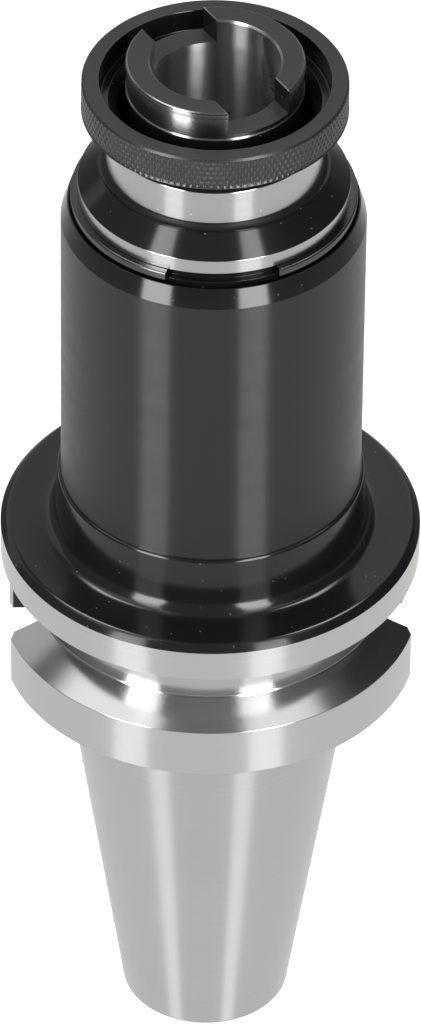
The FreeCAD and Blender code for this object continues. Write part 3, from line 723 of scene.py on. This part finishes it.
def make_snap_ring():
    """The open ring above the mouth of the barrel."""
    inner = SNAP_GROOVE + SNAP_REST
    corners = [(inner, SNAP_LOW, EDGE), (SNAP_RADIUS, SNAP_LOW, SNAP_EDGE),
               (SNAP_RADIUS, SNAP_HIGH, SNAP_EDGE), (inner, SNAP_HIGH, EDGE)]
    bm = spun(corners, SNAP_SWEEP, SNAP_START, SNAP_STEPS)
    return piece("snap_ring_turned", bm, [RING])


def knurl(bm, low, high, count, rows, depth):
    """Raise a diamond pattern of small pyramids on the outer wall of the collar."""
    pitch = (high - low) / rows
    for vert in bm.verts:
        radius = math.hypot(vert.co.x, vert.co.y) / MM
        height = vert.co.z / MM
        if radius < COLLAR_RADIUS - TOUCH or not low - HAIR < height < high + HAIR:
            continue
        turn = math.atan2(vert.co.y, vert.co.x) / math.tau * count
        rise = (height - low) / pitch
        first = abs((turn + rise / 2) % 1.0 - 0.5) * 2
        second = abs((turn - rise / 2) % 1.0 - 0.5) * 2
        fade = min(1.0, (height - low) / KNURL_RUN_IN, KNURL_TOP_SHARE + (high - height) / KNURL_RUN_OUT)
        drop = depth * (1 - min(first, second)) * max(0.0, fade)
        scale = (radius - drop) / radius
        vert.co.x *= scale
        vert.co.y *= scale


def collar_finish(radius, height, upward, outward):
    """Which finish a point of the collar has: glossy, dull or knurled."""
    if radius > COLLAR_RADIUS - KNURL_REACH and outward > HALF:
        return KNURL
    return GLOSS if radius < COLLAR_BORE + NEAR else MATT


def make_collar():
    """The release collar: knurled rim, ledge and hub."""
    band_low = COLLAR_LOW + COLLAR_BEVEL
    band_high = COLLAR_HIGH - COLLAR_BEVEL
    layer = (band_high - band_low) / KNURL_LAYERS
    band = [(COLLAR_RADIUS, band_low + layer * step, 0.0) for step in range(KNURL_LAYERS + 1)]
    corners = [
        (HUB_GUIDE, HUB_LOW, KEEN_EDGE),
        (HUB_RIM_RADIUS, HUB_LOW, EDGE),
        (HUB_RIM_RADIUS, HUB_RIM_TOP, KEEN_EDGE),
        (HUB_RADIUS, HUB_RIM_TOP, 0.0),
        (HUB_RADIUS, COLLAR_LOW + RECESS, EDGE),
        (RECESS_RADIUS, COLLAR_LOW + RECESS, KEEN_EDGE),
        (RECESS_RADIUS + RECESS, COLLAR_LOW, KEEN_EDGE),
        (COLLAR_RADIUS - COLLAR_BEVEL, COLLAR_LOW, KEEN_EDGE),
    ] + band + [
        (COLLAR_RADIUS - COLLAR_BEVEL, COLLAR_HIGH, FLANK_EDGE),
        (COLLAR_BORE, COLLAR_HIGH, NECK_EDGE),
        (COLLAR_BORE, LEDGE, LEDGE_FILLET),
        (LEDGE_RADIUS, LEDGE, EDGE),
        (HUB_BORE, LEDGE - LEDGE_RADIUS + HUB_BORE, EDGE),
        (HUB_BORE, CAM_HIGH, KEEN_EDGE),
        (HUB_GUIDE, CAM_LOW, KEEN_EDGE),
    ]
    bm = spun(corners, steps=KNURL_TEETH * KNURL_STEPS)
    knurl(bm, band_low, band_high, KNURL_TEETH, KNURL_ROWS, KNURL_DEPTH)
    return piece("collar_knurled", bm, [GLOSS, MATT, KNURL], collar_finish)


def dress_nodes():
    """Give the inner pieces, which stay as solids, their finishes."""
    plan = (
        (SPRING, ("push_spring", "pull_spring", "return_spring", "retaining_ring")),
        (WASHER, ("base_washer", "spindle_washer", "web_washer", "head_washer", "stop_sleeve",
                  "spring_seat")),
        (SCREW, ("float_bolt", "lock_screw")),
        (BALL, tuple("drive_ball_%d" % (step + 1) for step in range(6)) + ("lock_ball_1", "lock_ball_2")),
    )
    for material, names in plan:
        for name in names:
            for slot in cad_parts[name].material_slots:
                slot.material = material


shank = make_shank()
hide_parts("taper_shank")
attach(shank, "shank")
spindle = make_spindle()
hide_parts("float_spindle")
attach(spindle, "spindle")
snap = make_snap_ring()
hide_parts("snap_ring")
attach(snap, "spindle")
collar = make_collar()
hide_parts("release_collar")
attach(collar, "collar")
dress_nodes()


FLOOR_SIZE = 4.0
FLOOR_TONE = 0.35
FLOOR_GLOW = 0.8


def make_floor():
    """A wide pale floor, which keeps the shadow and lets gloss see the studio."""
    bm = bmesh.new()
    bmesh.ops.create_circle(bm, cap_ends=True, segments=64, radius=FLOOR_SIZE)
    bmesh.ops.translate(bm, verts=bm.verts, vec=(0, 0, -TAPER_LENGTH * MM))
    mesh = bpy.data.meshes.new("floor")
    bm.to_mesh(mesh)
    bm.free()
    floor = bpy.data.objects.new("floor", mesh)
    bpy.context.scene.collection.objects.link(floor)
    material = bpy.data.materials.new("pale_floor")
    material.use_nodes = True
    tree = material.node_tree
    shader = tree.nodes["Principled BSDF"]
    shader.inputs["Base Color"].default_value = (FLOOR_TONE, FLOOR_TONE, FLOOR_TONE, 1)
    shader.inputs["Roughness"].default_value = 1.0
    shader.inputs["Specular IOR Level"].default_value = 0.0
    shader.inputs["Emission Color"].default_value = (1, 1, 1, 1)
    path = tree.nodes.new("ShaderNodeLightPath")
    glow = math_node(tree, "MULTIPLY", path.outputs["Is Camera Ray"], FLOOR_GLOW)
    link(tree, glow, shader.inputs["Emission Strength"])
    clear = tree.nodes.new("ShaderNodeBsdfTransparent")
    mix = tree.nodes.new("ShaderNodeMixShader")
    seen = math_node(tree, "MAXIMUM", path.outputs["Is Glossy Ray"], path.outputs["Is Transmission Ray"])
    link(tree, seen, mix.inputs[0])
    link(tree, shader.outputs[0], mix.inputs[1])
    link(tree, clear.outputs[0], mix.inputs[2])
    link(tree, mix.outputs[0], tree.nodes["Material Output"].inputs["Surface"])
    mesh.materials.append(material)


# The studio, in degrees of azimuth from the camera and of height: two tall strip boxes in front,
# weaker towards floor and ceiling, six soft boxes at the sides and behind, and a dark corner on the
# right. Each strip is its middle, its half width and its bend; each box is its sides, its levels and
# its power.
STRIPS = ((-39.0, 11.0, -0.0037), (28.0, 10.8, 0.0035))
STRIP_EDGE = 1.5
STRIP_SPAN = (-72.0, 74.0)
STRIP_END_EDGE = 4.0
STRIP_STRAIGHT = -5.0
STRIP_LIFT = (-19.5, -8.0)
STRIP_FADE = (30.0, 66.0)
STRIP_LOW = 1.3
STRIP_HIGH = 12.0
STRIP_TOP = 2.4
BOXES = (((-126.0, -52.0), (47.0, 82.0), 1.5), ((42.0, 96.0), (54.0, 84.0), 1.4),
         ((-164.0, -124.0), (52.0, 74.0), 9.0), ((122.0, 164.0), (52.0, 74.0), 9.0),
         ((-200.0, -112.0), (8.0, 46.0), 0.66), ((148.0, 200.0), (8.0, 52.0), 0.8))
BOX_EDGE = 6.0
DARK_SIDES = (60.0, 150.0)
DARK_SIDE_EDGE = 12.0
DARK_LEVELS = (5.0, 60.0)
DARK_LEVEL_EDGE = 10.0
DARK_SHARE = 0.8
ROOM_BOTTOM = 0.85
ROOM_TOP = 0.24
ROOM_STOPS = ((-30.0, 0.82), (-18.0, 0.40), (-5.0, 0.18), (60.0, 0.22))


def window(tree, source, low, high, edge):
    """One between two numbers, falling to zero outside over the edge."""
    rise = math_node(tree, "DIVIDE", math_node(tree, "SUBTRACT", source, low), edge, clamp=True)
    fall = math_node(tree, "DIVIDE", math_node(tree, "SUBTRACT", high, source), edge, clamp=True)
    return math_node(tree, "MULTIPLY", rise, fall)


def make_world():
    """The room's light by direction, white to the camera."""
    world = bpy.data.worlds.new("studio")
    bpy.context.scene.world = world
    world.use_nodes = True
    tree = world.node_tree
    place = tree.nodes.new("ShaderNodeTexCoord")
    split = tree.nodes.new("ShaderNodeSeparateXYZ")
    link(tree, place.outputs["Generated"], split.inputs[0])
    across, depth, up = split.outputs
    turn = math_node(tree, "ARCTAN2", across, math_node(tree, "MULTIPLY", depth, -1.0))
    azimuth = math_node(tree, "MULTIPLY", turn, math.degrees(1))
    height = math_node(tree, "MULTIPLY", math_node(tree, "ARCSINE", up), math.degrees(1))
    ramp = tree.nodes.new("ShaderNodeValToRGB")
    link(tree, math_node(tree, "DIVIDE", math_node(tree, "ADD", height, 90.0), 180.0), ramp.inputs[0])
    stops = ramp.color_ramp.elements
    stops[0].position = 0.0
    stops[0].color = (ROOM_BOTTOM, ROOM_BOTTOM, ROOM_BOTTOM, 1)
    stops[1].position = 1.0
    stops[1].color = (ROOM_TOP, ROOM_TOP, ROOM_TOP, 1)
    for angle, level in ROOM_STOPS:
        stop = ramp.color_ramp.elements.new((angle + 90.0) / 180.0)
        stop.color = (level, level, level, 1)
    corner = math_node(tree, "MULTIPLY", window(tree, azimuth, *DARK_SIDES, DARK_SIDE_EDGE),
                       window(tree, height, *DARK_LEVELS, DARK_LEVEL_EDGE))
    dimmed = math_node(tree, "MULTIPLY", corner, DARK_SHARE)
    room = math_node(tree, "MULTIPLY", ramp.outputs[0], math_node(tree, "SUBTRACT", 1.0, dimmed))
    strength = mapped(tree, height, *STRIP_LIFT, STRIP_LOW, STRIP_HIGH)
    faded = mapped(tree, height, *STRIP_FADE, 1.0, STRIP_TOP / STRIP_HIGH)
    tall = math_node(tree, "MULTIPLY", window(tree, height, *STRIP_SPAN, STRIP_END_EDGE), faded)
    off = math_node(tree, "SUBTRACT", height, STRIP_STRAIGHT)
    off = math_node(tree, "MULTIPLY", off, off)
    for middle, half, bend in STRIPS:
        away = math_node(tree, "SUBTRACT", azimuth, math_node(tree, "MULTIPLY", off, bend))
        wide = window(tree, away, middle - half, middle + half, STRIP_EDGE)
        lit = math_node(tree, "MULTIPLY", wide, tall)
        room = math_node(tree, "MAXIMUM", room, math_node(tree, "MULTIPLY", lit, strength))
    for sides, levels, power in BOXES:
        lit = math_node(tree, "MULTIPLY", window(tree, azimuth, *sides, BOX_EDGE),
                        window(tree, height, *levels, BOX_EDGE))
        room = math_node(tree, "MAXIMUM", room, math_node(tree, "MULTIPLY", lit, power))
    studio = tree.nodes["Background"]
    studio.inputs["Color"].default_value = (1, 1, 1, 1)
    link(tree, room, studio.inputs["Strength"])
    white = tree.nodes.new("ShaderNodeBackground")
    white.inputs["Color"].default_value = (1, 1, 1, 1)
    path = tree.nodes.new("ShaderNodeLightPath")
    last = tree.nodes.new("ShaderNodeMixShader")
    link(tree, path.outputs["Is Camera Ray"], last.inputs[0])
    link(tree, studio.outputs[0], last.inputs[1])
    link(tree, white.outputs[0], last.inputs[2])
    link(tree, last.outputs[0], tree.nodes["World Output"].inputs["Surface"])


# The camera, fitted to the photograph
FOCAL_PIXELS = 9848.47
IMAGE_HEIGHT = 1024
SENSOR = 24.0
AIM = Vector((0.012, 0.0, 27.118)) * MM
DISTANCE = 1477.906 * MM
ELEVATION = 0.691078
ROLL = 0.0114423


def make_camera():
    data = bpy.data.cameras.new("camera")
    data.sensor_fit = "VERTICAL"
    data.sensor_height = SENSOR
    data.lens = FOCAL_PIXELS * SENSOR / IMAGE_HEIGHT
    data.clip_start = 0.05
    data.clip_end = 20.0
    camera = bpy.data.objects.new("camera", data)
    back = Vector((0, -math.cos(ELEVATION), math.sin(ELEVATION)))
    right = Vector((1, 0, 0))
    above = back.cross(right)
    turned_right = math.cos(ROLL) * right + math.sin(ROLL) * above
    turned_above = math.cos(ROLL) * above - math.sin(ROLL) * right
    pose = Matrix((turned_right, turned_above, back)).transposed().to_4x4()
    pose.translation = AIM + back * DISTANCE
    camera.matrix_world = pose
    bpy.context.scene.collection.objects.link(camera)
    bpy.context.scene.camera = camera


make_floor()
make_world()
make_camera()
bpy.context.scene.view_settings.view_transform = "Standard"
